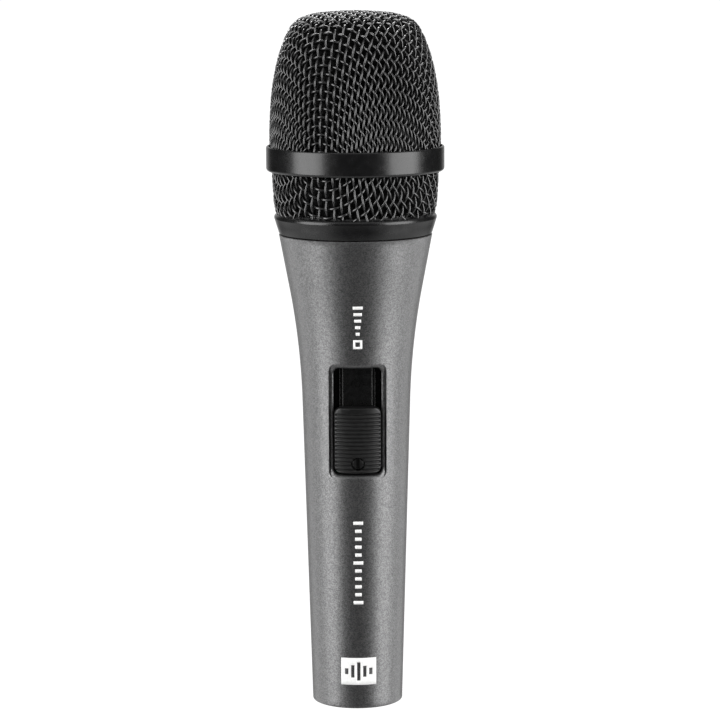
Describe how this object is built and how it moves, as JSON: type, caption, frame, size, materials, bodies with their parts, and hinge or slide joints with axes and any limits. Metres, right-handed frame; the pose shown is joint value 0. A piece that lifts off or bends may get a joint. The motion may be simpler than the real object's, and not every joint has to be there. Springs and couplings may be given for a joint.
{
  "type": "dynamic microphone",
  "caption": "Handheld dynamic vocal microphone: tapered metal handle with a lockable slide switch, a screw-on woven-wire head round a sprung capsule, and a recessed pin socket in its end.",
  "frame": {"origin": "centre of the handle's bottom rim, which is the bottom face the microphone stands on", "axes": "+Z along the microphone's axis, from the socket end to the grille; the slide switch faces -Y; +X is to the right of a person who looks at the switch"},
  "size_m": [0.047, 0.047, 0.185],
  "materials": {
    "handle_paint": "charcoal metallic paint with a fine flake, satin",
    "satin_black": "satin black coat",
    "grille_wire": "satin black coat on woven steel wire",
    "foam": "open-cell foam",
    "black_plastic": "moulded, matt",
    "slider_plastic": "moulded, satin",
    "screw_black": "moulded, satin",
    "capsule_plastic": "moulded, matt",
    "front_cloth": "fine woven cloth",
    "rubber": "soft, matt",
    "socket_plating": "nickel plating, satin",
    "pin_plating": "silver plating",
    "bright_steel": "bright",
    "yoke_steel": "zinc plated",
    "lamination_steel": "varnished laminations",
    "magnet": "sintered",
    "winding_copper": "enamelled copper wire",
    "terminal_brass": "tinned",
    "circuit_board": "green solder resist",
    "reed_glass": "clear",
    "film": "thin polyester film",
    "lead_black": "sleeving",
    "lead_red": "sleeving",
    "lead_blue": "sleeving",
    "lead_white": "sleeving"
  },
  "bodies": {
    "handle": {"handle_shell": "handle_paint", "switch_tray": "black_plastic", "switch_board": "circuit_board", "reed_switch": "reed_glass", "tray_screw_lower": "bright_steel", "tray_screw_upper": "bright_steel", "connector_cup": "socket_plating", "connector_insulator": "black_plastic", "pin_1": "pin_plating", "pin_2": "pin_plating", "pin_3": "pin_plating", "earth_washer": "bright_steel", "connector_set_screw": "bright_steel", "transformer_core": "lamination_steel", "transformer_winding": "winding_copper", "shock_mount": "rubber", "carrier_ring": "black_plastic", "capsule_lead_left": "lead_black", "capsule_lead_right": "lead_red", "output_lead_left": "lead_blue", "output_lead_right": "lead_white", "switch_lead_left": "lead_white", "switch_lead_right": "lead_blue"},
    "slider": {"slider_cap": "slider_plastic", "slider_magnet": "magnet", "detent_spring": "bright_steel"},
    "lock": {"lock_screw": "screw_black", "lock_cam": "bright_steel"},
    "collar": {"base_collar": "satin_black"},
    "basket": {"lower_grille": "grille_wire", "lower_foam": "foam", "centre_band": "satin_black", "upper_grille": "grille_wire", "foam_liner": "foam"},
    "capsule": {"capsule_housing": "capsule_plastic", "resonator_plate": "capsule_plastic", "front_cloth": "front_cloth", "rear_chamber": "capsule_plastic", "yoke": "yoke_steel", "magnet": "magnet", "pole_piece": "yoke_steel", "terminal_board": "circuit_board", "terminal_left": "terminal_brass", "terminal_right": "terminal_brass"},
    "moving_coil": {"diaphragm": "film", "voice_coil": "winding_copper"}
  },
  "joints": [
    {"name": "switch_slide", "type": "slide", "parent": "handle", "child": "slider", "axis": [0, -0.0285, 0.9996], "range_m": [0, 0.0102]},
    {"name": "lock_screw_turn", "type": "hinge", "parent": "slider", "child": "lock", "pos_m": [0, -0.01394, 0.0667], "axis": [0, -0.9996, -0.0285], "range_deg": [0, 90]},
    {"name": "head_thread_rise", "type": "slide", "parent": "handle", "child": "collar", "axis": [0, 0, 1], "range_m": [0, 0.006]},
    {"name": "head_unscrew", "type": "hinge", "parent": "collar", "child": "basket", "pos_m": [0, 0, 0.129], "axis": [0, 0, 1], "range_deg": [0, 1440]},
    {"name": "capsule_float", "type": "slide", "parent": "handle", "child": "capsule", "axis": [0, 0, 1], "range_m": [-0.0008, 0.0008], "stiffness_N_per_m": 3000, "deforming": ["capsule_lead_left", "capsule_lead_right"]},
    {"name": "diaphragm_travel", "type": "slide", "parent": "capsule", "child": "moving_coil", "axis": [0, 0, 1], "range_m": [-0.0003, 0.0003], "stiffness_N_per_m": 200}
  ],
  "couplings": [
    {"joint": "head_thread_rise", "follows": "head_unscrew", "m_per_rad": 0.00023873}
  ]
}
